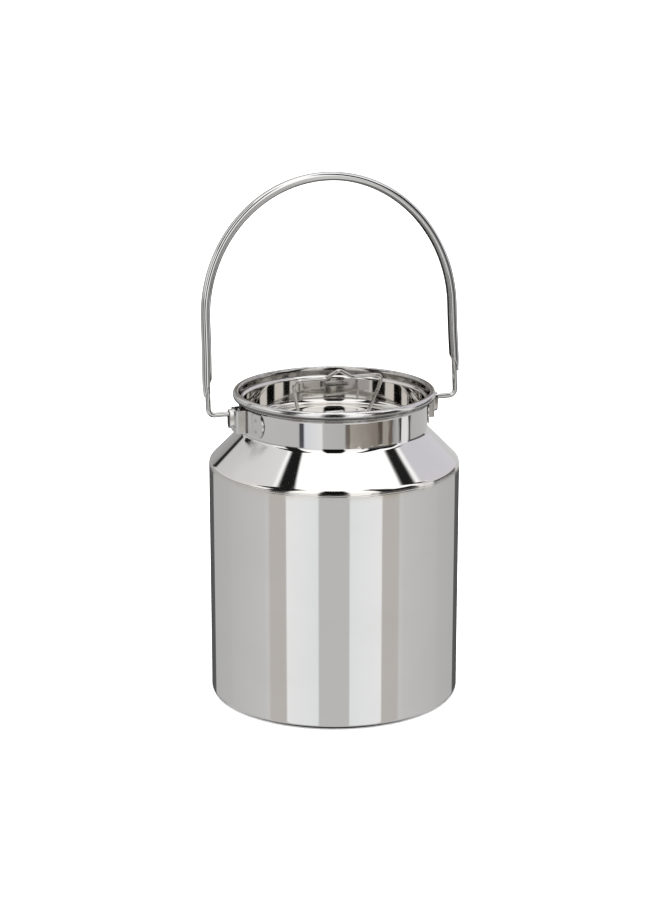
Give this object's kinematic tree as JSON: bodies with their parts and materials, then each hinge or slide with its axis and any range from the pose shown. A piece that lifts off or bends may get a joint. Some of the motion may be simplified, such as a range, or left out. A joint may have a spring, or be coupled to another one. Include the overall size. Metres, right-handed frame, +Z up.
{
  "type": "milk can",
  "caption": "Round stainless-steel milk can with a coned shoulder, rolled rim, swinging wire bail with a channel grip, and a recessed lift-off lid with a folding ring.",
  "frame": {"origin": "centre of the flat base, on the surface that the can stands on", "axes": "+Z up along the can's axis; the bail's pivot line is parallel to X; the front is -Y"},
  "size_m": [0.1722, 0.16, 0.3352],
  "materials": {
    "polished_pot": "mirror-polished stainless sheet with faint lengthwise polishing marks",
    "polished_shoulder": "mirror-polished spun stainless sheet with fine marks round the axis",
    "polished_lid": "mirror-polished spun stainless sheet",
    "pressed_strip": "tumbled stainless strip, duller than the pot",
    "bail_wire_steel": "drawn stainless wire, polished",
    "grip_sheet": "polished stainless sheet rolled into a channel",
    "ring_wire_steel": "bright drawn stainless wire"
  },
  "bodies": {
    "can": {"can_body": "polished_pot", "shoulder_neck": "polished_shoulder", "ear_left": "pressed_strip", "ear_right": "pressed_strip"},
    "bail": {"bail_wire": "bail_wire_steel", "bail_grip": "grip_sheet"},
    "lid": {"lid_pan": "polished_lid", "lid_ring_clip": "pressed_strip"},
    "ring": {"lid_ring": "ring_wire_steel"}
  },
  "joints": [
    {"name": "bail_swing", "type": "hinge", "parent": "can", "child": "bail", "pos_m": [0, 0, 0.1887], "axis": [1, 0, 0], "range_deg": [-136, 147]},
    {"name": "lid_lift", "type": "slide", "parent": "can", "child": "lid", "axis": [0, 0, 1], "range_m": [0, 0.08]},
    {"name": "ring_fold", "type": "hinge", "parent": "lid", "child": "ring", "pos_m": [0, 0, 0.1827], "axis": [1, 0, 0], "range_deg": [-110, 76]}
  ]
}
